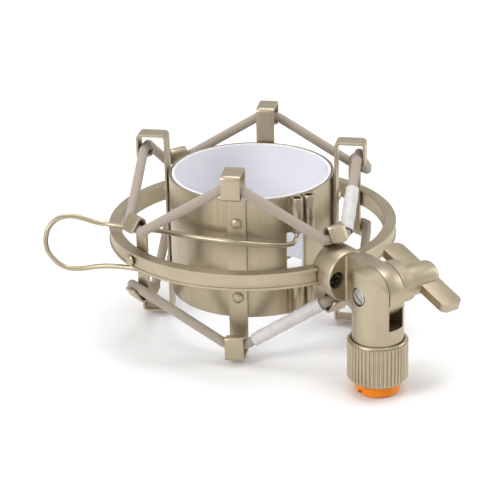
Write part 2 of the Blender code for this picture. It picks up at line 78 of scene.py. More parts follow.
RING_LOW, RING_HIGH = span("outer_ring")
AXIS = Vector(((RING_LOW.x + RING_HIGH.x) / 2, (RING_LOW.y + RING_HIGH.y) / 2, 0.0))
RING_R = (RING_HIGH.x - RING_LOW.x) / 2
RING_Z = (RING_LOW.z + RING_HIGH.z) / 2
BAND_LOW, BAND_HIGH = span("clamp_band_right")
BAND_R = BAND_HIGH.x
LINING_R = span("clamp_lining_right")[1].x
NUT_LOW, NUT_HIGH = span("ribbed_nut")
NUT_R = NUT_HIGH.x
REDUCER_TOP = span("thread_reducer")[1].z
REDUCER_R = span("thread_reducer")[1].x
STEM_LOW, STEM_HIGH = span("swivel_stem")
STEM_R = -STEM_LOW.x
PIVOT_Z = STEM_HIGH.z - STEM_R
KNOB_LOW, KNOB_HIGH = span("wing_knob")
HOOK_LOW, HOOK_HIGH = span("inner_strip_right_rear")
HOOK_MID = (HOOK_LOW.z + HOOK_HIGH.z) / 2
RIVET_SPANS = [span("rivet_left_front_lower"), span("rivet_left_front_upper")]
RIVET_HEIGHTS = [(low.z + high.z) / 2 for low, high in RIVET_SPANS]
CLAMP_LOW, CLAMP_HIGH = span("clamp_screw")
CLAMP_X = (CLAMP_LOW.x + CLAMP_HIGH.x) / 2
PIVOT_LOW, PIVOT_HIGH = span("pivot_screw")

# ------------ sizes that the boxes don't give

INNER_BEARINGS = {"left_front": -135.0, "right_front": -45.0, "right_rear": 45.0, "left_rear": 135.0}
OUTER_BEARINGS = {"front": -90.0, "right": 0.0, "rear": 90.0, "left": 180.0}
THREAD_PITCH = 0.95
THREAD_DEPTH = 0.28
REDUCER_WALL = 3.35
STEM_SLOT = (-2.2, 4.6)        # the slot's two faces in x
STEM_SLOT_FLOOR = 26.0
PIVOT_BORE_R = 2.3
PIVOT_HEAD_SEAT = -7.2
BOSS_R = 6.6
HUB_R = 5.5
WING_REACH = 18.5
WING_HALF = 4.3
WING_CORNER = 2.6
WING_TURN = 17.0
RING_BAR = 4.5                 # from the ring's inside to its outside
RIVET_HOLE_R = 1.2
PAD_R = 9.6
PAD_FACE = AXIS.y - 60.5
PAD_BACK = AXIS.y - 49.9
PAD_FILLET = 0.8
TONGUE = (-1.9, 4.3)           # the tongue's two faces in x
TONGUE_HALF = 9.2
CLAMP_HOLE_R = 1.8
CLAMP_SEAT_R = 3.2
STRIP_STAND = 0.7              # from the sleeve to the strips on it
STRIP_REACH = 42.75
STRIP_LEG = 27.1
BAND_SHEET = 0.8
LINING_SHEET = 1.0
WINDOW = (28.4, 46.3)          # heights of the gap between the knuckles
SLEEVE_ENDS = (-89.0, 269.0)   # bearings of the sheet's two edges, beside the opening
WINDOW_SIDES = (-86.4, 259.0)
KNUCKLE_PIN = Vector((-2.66, -32.39, 0.0))
KNUCKLE_R = 2.2
KNUCKLE_BORE_R = 1.4
OUTER_RISE = 11.9              # from a strip's middle to the cord in its hook
INNER_RISE = 30.15
CORD_HOOKS = ((51.7, RING_Z, OUTER_RISE, 4.6), (40.2, HOOK_MID, INNER_RISE, 3.9))
CORD_BEND = 1.4
UPPER_SLEEVE = (0.05, 0.60)    # where a white sleeve starts and ends along its straight run
LOWER_SLEEVE = (0.11, 0.95)
SLEEVE_WALL = 0.22


class ShockMountSettings(bpy.types.PropertyGroup):
    """Sizes of the fine detail; lengths are in millimetres unless a unit is shown."""
    sheet: bpy.props.FloatProperty(name="Strip thickness", default=0.9, min=0.5, max=1.5)
    strip_width: bpy.props.FloatProperty(name="Strip width", default=7.0, min=4.0, max=10.0)
    edge: bpy.props.FloatProperty(name="Edge rounding", default=0.22, min=0.05, max=0.5)
    ribs: bpy.props.IntProperty(name="Ribs on the nut", default=44, min=20, max=80)
    rib_depth: bpy.props.FloatProperty(name="Rib depth", default=0.5, min=0.1, max=1.0)
    round_steps: bpy.props.IntProperty(name="Steps in a full turn", default=160, min=32, max=256)
    cord_radius: bpy.props.FloatProperty(name="Elastic cord radius", default=1.8, min=0.5, max=3.0)
    braid_strands: bpy.props.IntProperty(name="Braid strands", default=14, min=4, max=20)
    braid_pitch: bpy.props.FloatProperty(name="Braid pitch", default=9.0, min=2.0, max=20.0)
    sleeve_radius: bpy.props.FloatProperty(name="Cord sleeve radius", default=2.5, min=1.7, max=3.0)
    wire_radius: bpy.props.FloatProperty(name="Wire radius", default=0.95, min=0.5, max=1.5)
    camera_bearing: bpy.props.FloatProperty(
        name="Camera bearing", subtype="ANGLE", default=math.radians(34.6), description="From +Y towards +X")
    camera_height: bpy.props.FloatProperty(
        name="Camera elevation", subtype="ANGLE", default=math.radians(23.0))
    camera_roll: bpy.props.FloatProperty(name="Camera roll", subtype="ANGLE", default=math.radians(-1.2))
    camera_distance: bpy.props.FloatProperty(name="Camera distance", unit="LENGTH", default=0.7238)
    camera_view: bpy.props.FloatProperty(name="Field of view", subtype="ANGLE", default=math.radians(14.95))
    camera_aim: bpy.props.FloatVectorProperty(
        name="Camera aim", subtype="XYZ_LENGTH", default=(-0.0025, 0.0746, 0.029))


# ------------ material building

class Shading:
    """A small helper that adds and links shader nodes."""

    def __init__(self, name, colour, roughness, metallic):
        self.material = bpy.data.materials.new(name)
        self.material.use_nodes = True
        self.tree = self.material.node_tree
        self.surface = self.tree.nodes["Principled BSDF"]
        self.surface.inputs["Base Color"].default_value = (*colour, 1.0)
        self.surface.inputs["Roughness"].default_value = roughness
        self.surface.inputs["Metallic"].default_value = metallic

    def add(self, kind, **values):
        node = self.tree.nodes.new(kind)
        for key, value in values.items():
            setattr(node, key, value)
        return node

    def link(self, a, b):
        self.tree.links.new(a, b)

    def noise(self, stretch, detail=3.0, roughness=0.55, offset=(0.0, 0.0, 0.0)):
        """Noise over the object's own coordinates; stretch is in cycles per metre, one or three."""
        place = self.add("ShaderNodeTexCoord").outputs["Object"]
        mapping = self.add("ShaderNodeMapping")
        mapping.inputs["Scale"].default_value = stretch if isinstance(stretch, tuple) else (stretch,) * 3
        mapping.inputs["Location"].default_value = offset
        texture = self.add("ShaderNodeTexNoise")
        texture.inputs["Scale"].default_value = 1.0
        texture.inputs["Detail"].default_value = detail
        texture.inputs["Roughness"].default_value = roughness
        self.link(place, mapping.inputs["Vector"])
        self.link(mapping.outputs["Vector"], texture.inputs["Vector"])
        return texture.outputs["Fac"]

    def ramp(self, factor, stops):
        ramp = self.add("ShaderNodeValToRGB").color_ramp
        node = self.tree.nodes[-1]
        for element, (position, colour) in zip(ramp.elements, (stops[0], stops[-1])):
            element.position, element.color = position, (*colour, 1.0)
        for position, colour in stops[1:-1]:
            ramp.elements.new(position).color = (*colour, 1.0)
        self.link(factor, node.inputs["Fac"])
        return node.outputs["Color"]

    def spread(self, factor, low, high, near=0.3, far=0.7):
        spread = self.add("ShaderNodeMapRange")
        for name, value in (("From Min", near), ("From Max", far), ("To Min", low), ("To Max", high)):
            spread.inputs[name].default_value = value
        self.link(factor, spread.inputs["Value"])
        return spread.outputs["Result"]

    def maths(self, operation, a, b=None):
        node = self.add("ShaderNodeMath", operation=operation)
        for socket, value in zip(node.inputs, (a, b)):
            if isinstance(value, (int, float)):
                socket.default_value = value
            elif value is not None:
                self.link(value, socket)
        return node.outputs["Value"]

    def bump(self, height, strength, distance, after=None):
        bump = self.add("ShaderNodeBump")
        bump.inputs["Strength"].default_value = strength
        bump.inputs["Distance"].default_value = distance
        self.link(height, bump.inputs["Height"])
        if after is not None:
            self.link(after, bump.inputs["Normal"])
        return bump.outputs["Normal"]

    def use(self, name, output):
        self.link(output, self.surface.inputs[name])


def satin_champagne():
    """Pearl-plated metal: a fine even grain, faint cloudiness and slight handling marks."""
    look = Shading("satin_champagne", (0.47, 0.40, 0.285), 0.40, 1.0)
    cloud = look.noise(55.0, 4.0)
    look.use("Base Color", look.ramp(cloud, [(0.25, (0.435, 0.365, 0.26)), (0.5, (0.475, 0.405, 0.29)),
                                             (0.8, (0.52, 0.45, 0.33))]))
    grain = look.noise(5200.0, 2.0)
    look.use("Roughness", look.spread(look.noise(260.0, 5.0), 0.36, 0.46))
    look.use("Normal", look.bump(grain, 0.22, 0.00004))
    return look.material


def brushed_champagne():
    """Rolled sheet brushed up and down: streaks that are long in z and very fine around."""
    look = Shading("brushed_champagne", (0.43, 0.365, 0.255), 0.36, 1.0)
    streaks = look.noise((2600.0, 2600.0, 26.0), 5.0, 0.7)
    broad = look.noise((420.0, 420.0, 9.0), 3.0, 0.6, (3.0, 7.0, 1.0))
    both = look.maths("ADD", look.maths("MULTIPLY", streaks, 0.62), look.maths("MULTIPLY", broad, 0.38))
    look.use("Base Color", look.ramp(both, [(0.30, (0.395, 0.335, 0.23)), (0.5, (0.435, 0.37, 0.26)),
                                            (0.72, (0.475, 0.407, 0.29))]))
    look.use("Roughness", look.spread(both, 0.41, 0.32))
    look.use("Normal", look.bump(streaks, 0.22, 0.00003))
    return look.material


def drawn_wire():
    """Plated spring wire, smoother and brighter than the sheet."""
    look = Shading("drawn_wire", (0.48, 0.41, 0.29), 0.34, 1.0)
    cloud = look.noise(120.0, 5.0)
    look.use("Base Color", look.ramp(cloud, [(0.3, (0.44, 0.37, 0.26)), (0.7, (0.52, 0.45, 0.325))]))
    look.use("Roughness", look.spread(cloud, 0.32, 0.42))
    look.use("Normal", look.bump(look.noise(4200.0, 2.0), 0.10, 0.00002))
    return look.material


def lining_plastic():
    """Cool white sheet plastic with a faint matt grain and soft mottling."""
    look = Shading("lining_plastic", (0.82, 0.82, 0.87), 0.42, 0.0)
    cloud = look.noise((70.0, 70.0, 40.0), 4.0)
    look.use("Base Color", look.ramp(cloud, [(0.3, (0.80, 0.80, 0.85)), (0.7, (0.85, 0.85, 0.90))]))
    look.use("Roughness", look.spread(cloud, 0.36, 0.50))
    look.use("Normal", look.bump(look.noise(3200.0, 2.0), 0.25, 0.00004))
    return look.material


def elastic_braid(strands, pitch):
    """Two sets of threads that cross in diamonds; a mesh attribute gives the place along and around."""
    look = Shading("elastic_braid", (0.50, 0.44, 0.37), 0.78, 0.0)
    along = look.add("ShaderNodeAttribute", attribute_name="along").outputs["Fac"]
    around = look.add("ShaderNodeAttribute", attribute_name="around").outputs["Vector"]
    split = look.add("ShaderNodeSeparateXYZ")
    look.link(around, split.inputs["Vector"])
    turn = look.maths("ARCTAN2", split.outputs["Y"], split.outputs["X"])
    angle = look.maths("MULTIPLY", turn, float(strands))
    run = look.maths("MULTIPLY", along, math.tau * strands / pitch)
    left = look.maths("SINE", look.maths("ADD", angle, run))
    right = look.maths("SINE", look.maths("SUBTRACT", angle, run))
    weave = look.maths("ADD", look.maths("MAXIMUM", left, right), look.maths("MULTIPLY", left, 0.25))
    fuzz = look.noise(4200.0, 3.0)
    shade = look.maths("ADD", look.spread(weave, 0.0, 0.8, -0.6, 1.2), look.maths("MULTIPLY", fuzz, 0.3))
    look.use("Base Color", look.ramp(shade, [(0.15, (0.29, 0.24, 0.195)), (0.55, (0.355, 0.30, 0.245)),
                                             (0.9, (0.42, 0.36, 0.30))]))
    look.surface.inputs["Sheen Weight"].default_value = 0.25
    look.surface.inputs["Sheen Roughness"].default_value = 0.5
    look.use("Normal", look.bump(fuzz, 0.3, 0.00006, look.bump(weave, 0.4, 0.00008)))
    return look.material


def white_sleeve():
    """Shrunk plastic tube: soft lengthwise wrinkles and a low gloss."""
    look = Shading("white_sleeve", (0.59, 0.565, 0.55), 0.40, 0.0)
    wrinkle = look.noise(300.0, 3.0, 0.5)
    look.use("Base Color", look.ramp(wrinkle, [(0.3, (0.54, 0.51, 0.495)), (0.65, (0.62, 0.595, 0.58))]))
    look.use("Roughness", look.spread(wrinkle, 0.34, 0.50))
    look.surface.inputs["Subsurface Weight"].default_value = 0.05
    look.surface.inputs["Subsurface Scale"].default_value = 0.002
    look.use("Normal", look.bump(wrinkle, 0.45, 0.0003))
    return look.material


def orange_plastic():
    """Injection-moulded nylon: slight flow marks and a soft gloss."""
    look = Shading("orange_plastic", (0.86, 0.26, 0.0), 0.30, 0.0)
    flow = look.noise((180.0, 180.0, 90.0), 4.0)
    look.use("Base Color", look.ramp(flow, [(0.3, (0.80, 0.205, 0.0)), (0.7, (0.90, 0.30, 0.0))]))
    look.use("Roughness", look.spread(flow, 0.22, 0.34))
    look.surface.inputs["Specular IOR Level"].default_value = 0.35
    look.use("Normal", look.bump(look.noise(2600.0, 2.0), 0.15, 0.00004))
    return look.material


def turned_steel(name, dark, light, roughness):
    """Screw metal with fine turning marks and a worn, uneven finish."""
    look = Shading(name, light, roughness, 1.0)
    wear = look.noise(900.0, 5.0, 0.65)
    look.use("Base Color", look.ramp(wear, [(0.3, dark), (0.7, light)]))
    look.use("Roughness", look.spread(wear, roughness + 0.12, roughness - 0.06))
    look.use("Normal", look.bump(look.noise((3000.0, 600.0, 3000.0), 3.0), 0.3, 0.00004))
    return look.material


def bore_shadow():
    """The inside of a rolled tube as painted shade: a near-black, dull metal with faint stains."""
    # near-black base colour: painted shade for the shade inside the tube's bore
    look = Shading("tube_inside_painted_shade", (0.05, 0.045, 0.04), 0.7, 0.6)
    stain = look.noise(700.0, 4.0)
    look.use("Base Color", look.ramp(stain, [(0.3, (0.03, 0.027, 0.022)), (0.7, (0.09, 0.08, 0.06))]))
    look.use("Roughness", look.spread(stain, 0.55, 0.8))
    return look.material


def studio_paper():
    look = Shading("studio_paper", (0.9, 0.9, 0.9), 0.9, 0.0)
    fibre = look.noise(40.0, 3.0)
    look.use("Base Color", look.ramp(fibre, [(0.3, (0.93, 0.93, 0.93)), (0.7, (0.95, 0.95, 0.95))]))
    return look.material


MATERIALS = {}


def make_materials(settings):
    MATERIALS["satin"] = satin_champagne()
    MATERIALS["brushed"] = brushed_champagne()
    MATERIALS["wire"] = drawn_wire()
    MATERIALS["lining"] = lining_plastic()
    MATERIALS["elastic"] = elastic_braid(settings.braid_strands, settings.braid_pitch)
    MATERIALS["sleeve"] = white_sleeve()
    MATERIALS["orange"] = orange_plastic()
    MATERIALS["grey"] = turned_steel("grey_screw", (0.36, 0.345, 0.31), (0.52, 0.50, 0.455), 0.40)
    MATERIALS["dark"] = turned_steel("dark_screw", (0.035, 0.034, 0.032), (0.12, 0.115, 0.105), 0.34)
    # the bore material is painted shade, a near-black for the insides of the knuckle tubes
    MATERIALS["bore"] = bore_shadow()


# ------------ mesh building, in millimetres

def polar(radius, bearing, height=0.0):
    angle = math.radians(bearing)
    return AXIS + Vector((radius * math.cos(angle), radius * math.sin(angle), height))


def arc(cx, cy, radius, start, end, steps):
    angles = [math.radians(start + (end - start) * i / steps) for i in range(steps + 1)]
    return [(cx + radius * math.cos(a), cy + radius * math.sin(a)) for a in angles]


def to_object(work, name, closed=True):
    bmesh.ops.remove_doubles(work, verts=work.verts, dist=MERGE)
    if closed:
        bmesh.ops.recalc_face_normals(work, faces=work.faces)
    mesh = bpy.data.meshes.new(name)
    work.to_mesh(mesh)
    work.free()
    obj = bpy.data.objects.new(name, mesh)
    bpy.context.scene.collection.objects.link(obj)
    return obj


def rod(start, end, radius, segments, name="rod"):
    start, end = Vector(start), Vector(end)
    along = end - start
    turn = along.to_track_quat("Z", "Y").to_matrix().to_4x4()
    work = bmesh.new()
    bmesh.ops.create_cone(work, cap_ends=True, segments=segments, radius1=radius, radius2=radius,
                          depth=along.length, matrix=Matrix.Translation((start + end) / 2) @ turn)
    return to_object(work, name)


def block(low, high):
    low, high = Vector(low), Vector(high)
    work = bmesh.new()
    place = Matrix.Translation((low + high) / 2) @ Matrix.Diagonal((*(high - low), 1.0))
    bmesh.ops.create_cube(work, size=1.0, matrix=place)
    return to_object(work, "block")


def turned(name, profile, start, direction, segments, loop=False):
    """Spins (radius, distance) points about a line; a loop's last point joins its first."""
    turn = Vector(direction).to_track_quat("Z", "Y").to_matrix()
    work = bmesh.new()
    dots = [work.verts.new(Vector(start) + turn @ Vector((r, 0, along))) for r, along in profile]
    pairs = list(zip(dots, dots[1:])) + ([(dots[-1], dots[0])] if loop else [])
    edges = [work.edges.new(pair) for pair in pairs]
    bmesh.ops.spin(work, geom=dots + edges, cent=start, axis=direction, angle=math.tau,
                   steps=segments, use_merge=True)
    return to_object(work, name)


def prism(name, outline, axis, low, high):
    unit = {"x": Vector((1, 0, 0)), "y": Vector((0, 1, 0)), "z": Vector((0, 0, 1))}
    first, second = [unit[a] for a in "xyz" if a != axis]
    work = bmesh.new()
    face = work.faces.new([work.verts.new(u * first + v * second + low * unit[axis]) for u, v in outline])
    grown = bmesh.ops.extrude_face_region(work, geom=[face])
    far = [item for item in grown["geom"] if isinstance(item, bmesh.types.BMVert)]
    bmesh.ops.translate(work, verts=far, vec=(high - low) * unit[axis])
    return to_object(work, name)


def modifier(obj, kind, **values):
    added = obj.modifiers.new(kind.lower(), kind)
    for key, value in values.items():
        setattr(added, key, value)
    return added


def combine(target, tool, operation="DIFFERENCE"):
    """Cuts or joins at once, so that the tool can be thrown away."""
    modifier(target, "BOOLEAN", object=tool, operation=operation, solver="EXACT")
    settle(target)
    bpy.data.objects.remove(tool, do_unlink=True)


def settle(obj):
    """Applies every modifier to the object's mesh."""
    graph = bpy.context.evaluated_depsgraph_get()
    mesh = bpy.data.meshes.new_from_object(obj.evaluated_get(graph))
    obj.modifiers.clear()
    obj.data = mesh


def soften(obj, width, segments=2, angle=28.0):
    """Rounds the edges that catch the light."""
    work = bmesh.new()
    work.from_mesh(obj.data)
    bmesh.ops.remove_doubles(work, verts=work.verts, dist=0.004)
    bmesh.ops.dissolve_limit(work, angle_limit=math.radians(1.0), verts=work.verts, edges=work.edges)
    work.to_mesh(obj.data)
    work.free()
    modifier(obj, "BEVEL", width=width, segments=segments, limit_method="ANGLE",
             angle_limit=math.radians(angle), use_clamp_overlap=True, harden_normals=False)
    settle(obj)


def bake(obj, material, sharp=40.0):
    """Scales the drawn piece to metres and gives it its finish."""
    obj.data.transform(Matrix.Scale(MM, 4))
    obj.data.shade_smooth()
    obj.data.set_sharp_from_angle(angle=math.radians(sharp))
    obj.data.materials.clear()
    obj.data.materials.append(MATERIALS[material])
    return obj


def place(obj, body, *nodes):
    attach(obj, body)
    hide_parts(*nodes)
    return obj


# ------------ geometry nodes

def new_tree(name):
    tree = bpy.data.node_groups.new(name, "GeometryNodeTree")
    tree.interface.new_socket("Geometry", in_out="INPUT", socket_type="NodeSocketGeometry")
    tree.interface.new_socket("Geometry", in_out="OUTPUT", socket_type="NodeSocketGeometry")
    return tree, tree.nodes.new("NodeGroupInput"), tree.nodes.new("NodeGroupOutput")


def sweep_tree(name, radius, sides, step, material, capped):
    """Follows a path with a round section, and stores where each point lies around it."""
    tree, source, result = new_tree(name)
    add, link = tree.nodes.new, tree.links.new
    path = add("GeometryNodeMeshToCurve")
    even = add("GeometryNodeResampleCurve")
    even.mode = "LENGTH"
    even.inputs["Length"].default_value = step
    section = add("GeometryNodeCurvePrimitiveCircle")
    section.inputs["Resolution"].default_value = sides
    section.inputs["Radius"].default_value = radius
    place_node = add("GeometryNodeInputPosition")
    store = add("GeometryNodeStoreNamedAttribute")
    store.data_type = "FLOAT_VECTOR"
    store.domain = "POINT"
    store.inputs["Name"].default_value = "around"
    sweep = add("GeometryNodeCurveToMesh")
    sweep.inputs["Fill Caps"].default_value = capped
    smooth = add("GeometryNodeSetShadeSmooth")
    realize = add("GeometryNodeRealizeInstances")
    coat = add("GeometryNodeSetMaterial")
    coat.inputs["Material"].default_value = material
    link(source.outputs[0], path.inputs[0])
    link(path.outputs[0], even.inputs["Curve"])
    link(section.outputs["Curve"], store.inputs["Geometry"])
    link(place_node.outputs[0], store.inputs["Value"])
    link(even.outputs[0], sweep.inputs["Curve"])
    link(store.outputs[0], sweep.inputs["Profile Curve"])
    link(sweep.outputs[0], smooth.inputs["Geometry"])
    link(smooth.outputs[0], realize.inputs[0])
    link(realize.outputs[0], coat.inputs["Geometry"])
    link(coat.outputs[0], result.inputs[0])
    return tree


def path_mesh(name, route, closed):
    """A string of edges along a route, with the distance from its start stored on each point."""
    count = len(route)
    edges = [(i, i + 1) for i in range(count - 1)] + ([(count - 1, 0)] if closed else [])
    mesh = bpy.data.meshes.new(name)
    mesh.from_pydata([tuple(p) for p in route], edges, [])
    along = mesh.attributes.new("along", "FLOAT", "POINT")
    travelled = 0.0
    for i, here in enumerate(route):
        travelled += (here - route[i - 1]).length if i else 0.0
        along.data[i].value = travelled
    obj = bpy.data.objects.new(name, mesh)
    bpy.context.scene.collection.objects.link(obj)
    return obj


def swept(name, route, radius, sides, step, material, closed=False, capped=True):
    obj = path_mesh(name, route, closed)
    tree = sweep_tree(name + "_sweep", radius, sides, step, MATERIALS[material], capped)
    modifier(obj, "NODES", node_group=tree)
    settle(obj)
    return obj


def rib_tree(name, count, radius, section, height):
    """Stands bars in a circle, for the ribs of a nut."""
    tree, source, result = new_tree(name)
    add, link = tree.nodes.new, tree.links.new
    circle = add("GeometryNodeMeshCircle")
    circle.inputs["Vertices"].default_value = count
    circle.inputs["Radius"].default_value = radius
    bar = add("GeometryNodeMeshCylinder")
    bar.inputs["Vertices"].default_value = 12
    bar.inputs["Radius"].default_value = section
    bar.inputs["Depth"].default_value = height
    instance = add("GeometryNodeInstanceOnPoints")
    realize = add("GeometryNodeRealizeInstances")
    join = add("GeometryNodeJoinGeometry")
    coat = add("GeometryNodeSetMaterial")
    coat.inputs["Material"].default_value = MATERIALS["satin"]
    link(circle.outputs["Mesh"], instance.inputs["Points"])
    link(bar.outputs["Mesh"], instance.inputs["Instance"])
    link(instance.outputs[0], realize.inputs[0])
    link(realize.outputs[0], join.inputs[0])
    link(join.outputs[0], coat.inputs["Geometry"])
    link(coat.outputs[0], result.inputs[0])
    return tree


# ------------ stand socket

def make_reducer(settings):
    bore, root = REDUCER_R - REDUCER_WALL, REDUCER_R - THREAD_DEPTH
    profile = [(bore, 0.3), (bore + 0.3, 0), (REDUCER_R - 0.6, 0), (REDUCER_R - 0.15, 0.2), (REDUCER_R, 0.6)]
    turns = int((REDUCER_TOP - 1.5) / THREAD_PITCH)
    for k in range(turns):
        z = 1.0 + THREAD_PITCH * k
        profile += [(REDUCER_R, z), (root, z + 0.36), (root, z + 0.52), (REDUCER_R, z + 0.88)]
    profile += [(REDUCER_R, REDUCER_TOP - 0.3), (REDUCER_R - 0.3, REDUCER_TOP), (bore + 0.3, REDUCER_TOP),
                (bore, REDUCER_TOP - 0.3)]
    steps = settings.round_steps // 2
    reducer = turned("thread_reducer_fine", profile, (0, 0, 0), (0, 0, 1), steps, loop=True)
    combine(reducer, block((-10, -1.0, -1), (10, 1.0, 1.6)))
    bake(reducer, "orange")
    place(reducer, "reducer", "thread_reducer")


def make_nut(settings):
    """A turned body with bars let into it all round."""
    waist, floor = NUT_R - 1.1, NUT_R - settings.rib_depth
    inside_low, inside_high = REDUCER_R + GAP, STEM_R + GAP
    ledge = STEM_LOW.z - GAP
    profile = [(inside_low, NUT_LOW.z + 0.3), (inside_low + 0.3, NUT_LOW.z), (waist - 0.2, NUT_LOW.z)]
    profile += [(waist, NUT_LOW.z + 0.15), (floor, NUT_LOW.z + 1.0), (floor, NUT_HIGH.z - 0.9)]
    profile += [(floor - 0.1, NUT_HIGH.z - 0.5), (waist + 0.15, NUT_HIGH.z - 0.12), (waist - 0.1, NUT_HIGH.z)]
    profile += [(inside_high + 0.15, NUT_HIGH.z), (inside_high, NUT_HIGH.z - 0.15), (inside_high, ledge)]
    profile += [(inside_low, ledge)]
    nut = turned("ribbed_nut_fine", profile, (0, 0, 0), (0, 0, 1), settings.round_steps, loop=True)
    bake(nut, "satin")
    place(nut, "nut", "ribbed_nut")
    section = math.pi * NUT_R / settings.ribs * 0.72
    low, high = NUT_LOW.z + 1.1, NUT_HIGH.z - 0.75
    ribs = path_mesh("nut_ribs", [Vector((0, 0, 0)), Vector((0, 0, 1))], False)
    tree = rib_tree("nut_rib_ring", settings.ribs, NUT_R - section, section, high - low)
    modifier(ribs, "NODES", node_group=tree)
    settle(ribs)
    ribs.data.transform(Matrix.Translation((0, 0, (low + high) / 2)))
    bake(ribs, "satin")
    place(ribs, "nut", "ribbed_nut")


def pivot_hole():
    return rod((-12, 0, PIVOT_Z), (14, 0, PIVOT_Z), PIVOT_BORE_R, 40)


def make_stem(settings):
    """The head is rounded to the pivot's axis, slotted for the tongue and bossed for the knob."""
    steps = settings.round_steps * 3 // 4
    stem = rod((0, 0, STEM_LOW.z), (0, 0, STEM_HIGH.z + 1), STEM_R, steps, "swivel_stem_fine")
    side = [(-STEM_R - 1, STEM_LOW.z - 2), (STEM_R + 1, STEM_LOW.z - 2), (STEM_R + 1, PIVOT_Z - 4)]
    side += arc(0, PIVOT_Z, STEM_R - 0.01, 0, 180, 48) + [(-STEM_R - 1, PIVOT_Z - 4)]
    combine(stem, prism("side", side, "x", -12, 12), "INTERSECT")
    combine(stem, block((STEM_SLOT[0], -12, STEM_SLOT_FLOOR), (STEM_SLOT[1], 12, PIVOT_Z + 12)))
    combine(stem, rod((6.0, 0, PIVOT_Z), (STEM_HIGH.x, 0, PIVOT_Z), BOSS_R, 72), "UNION")
    combine(stem, pivot_hole())
    combine(stem, rod((-12, 0, PIVOT_Z), (PIVOT_HEAD_SEAT + GAP, 0, PIVOT_Z), 3.4, 48))
    soften(stem, settings.edge)
    bake(stem, "satin", 30.0)
    place(stem, "stem", "swivel_stem")


def make_pivot_screw(settings):
    tip, seat, end = PIVOT_LOW.x, PIVOT_HEAD_SEAT, PIVOT_HIGH.x
    dome = [(0, tip), (1.6, tip + 0.04), (2.6, tip + 0.22), (3.0, tip + 0.5), (3.1, tip + 0.8)]
    profile = dome + [(3.1, seat), (2.0, seat), (2.0, end), (0, end)]
    steps = settings.round_steps * 3 // 10
    screw = turned("pivot_screw_fine", profile, (0, 0, PIVOT_Z), (1, 0, 0), steps)
    slot = block((tip - 0.5, -4, -0.26), (tip + 0.6, 4, 0.26))
    slot.data.transform(Matrix.Translation((0, 0, PIVOT_Z)) @ Matrix.Rotation(math.radians(38), 4, "X"))
    combine(screw, slot)
    bake(screw, "grey", 30.0)
    place(screw, "stem", "pivot_screw")


def make_knob(settings):
    """A cast wing nut: domed hub and a bar with soft edges."""
    start, end = KNOB_LOW.x, KNOB_HIGH.x
    dome = [(HUB_R * math.cos(math.radians(a)), end - HUB_R * 0.6 * (1 - math.sin(math.radians(a))))
            for a in range(0, 90, 9)]
    profile = [(0, start), (HUB_R - 0.5, start), (HUB_R, start + 0.5)] + dome + [(0, end)]
    steps = settings.round_steps * 9 // 20
    knob = turned("wing_knob_fine", profile, (0, 0, PIVOT_Z), (1, 0, 0), steps)
    across, along = WING_HALF - WING_CORNER, WING_REACH - WING_CORNER
    outline = []
    for start_angle, (x, y) in zip((0, 90, 180, 270), ((1, 1), (-1, 1), (-1, -1), (1, -1))):
        outline += arc(x * across, y * along, WING_CORNER, start_angle, start_angle + 90, 10)
    blade = prism("blade", outline, "z", -1.6, 1.6)
    turn = Matrix.Rotation(math.radians(WING_TURN), 4, "X")
    blade.data.transform(Matrix.Translation((end - 6.0, 0, PIVOT_Z)) @ turn)
    combine(knob, blade, "UNION")
    combine(knob, rod((start - 1, 0, PIVOT_Z), (PIVOT_HIGH.x + 0.6, 0, PIVOT_Z), PIVOT_BORE_R, 40))
    soften(knob, 0.5, 3, 35.0)
    bake(knob, "satin", 35.0)
    place(knob, "knob", "wing_knob")


# ------------ ring and bracket

def clamp_hole(radius, depth):
    """A drill from in front of the pad, on the clamp screw's axis."""
    start = Vector((CLAMP_X, PAD_FACE - 2.0, RING_Z))
    return rod(start, start + Vector((0, depth, 0)), radius, 40)


def make_ring(settings):
    """A flat bar ring whose lips stand round a shallow channel."""
    low, high, inner = RING_LOW.z, RING_HIGH.z, RING_R - RING_BAR
    edge, lip, floor = 0.25, 1.05, RING_R - 0.45
    profile = [(inner + edge, low), (RING_R - edge, low), (RING_R, low + edge), (RING_R, low + lip)]
    profile += [(floor + 0.08, low + lip + 0.12), (floor, low + lip + 0.35), (floor, high - lip - 0.35)]
    profile += [(floor + 0.08, high - lip - 0.12), (RING_R, high - lip), (RING_R, high - edge)]
    profile += [(RING_R - edge, high), (inner + edge, high), (inner, high - edge), (inner, low + edge)]
    ring = turned("outer_ring_fine", profile, AXIS, (0, 0, 1), settings.round_steps + 64, loop=True)
    for side, bearing in OUTER_BEARINGS.items():
        if side != "front":
            ends = polar(inner - 3, bearing, RING_Z), polar(RING_R + 3, bearing, RING_Z)
            combine(ring, rod(*ends, RIVET_HOLE_R, 24))
    combine(ring, clamp_hole(CLAMP_HOLE_R, 14.5))
    bake(ring, "satin", 35.0)
    place(ring, "ring", "outer_ring")


